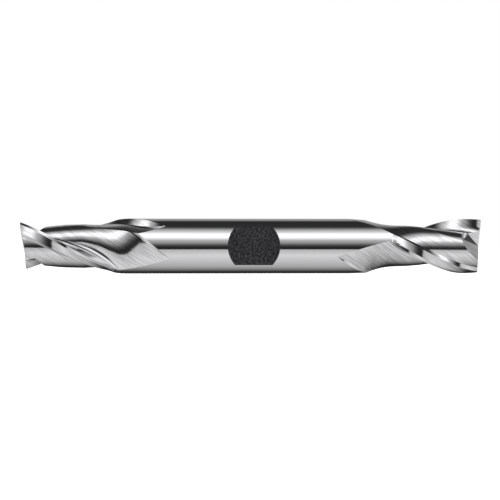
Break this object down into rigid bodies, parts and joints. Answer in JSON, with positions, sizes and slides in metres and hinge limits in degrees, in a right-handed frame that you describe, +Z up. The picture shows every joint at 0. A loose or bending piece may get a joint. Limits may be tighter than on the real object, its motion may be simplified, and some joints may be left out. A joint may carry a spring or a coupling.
{
  "type": "double-end square end mill",
  "caption": "Double-end square end mill: a round shank with a set-screw flat in the middle and two helical flutes with square-cut teeth at each end.",
  "frame": {"origin": "on the axis at mid-length", "axes": "+X along the axis towards the right-hand cutting end, +Z up, the set-screw flat faces -Y"},
  "size_m": [0.0794, 0.0096, 0.0096],
  "materials": {
    "ground_steel": "bright ground high speed steel, fine grinding lines; the set-screw flat is left dark from heat treatment"
  },
  "bodies": {
    "root": {"end_mill": "ground_steel"}
  },
  "joints": []
}
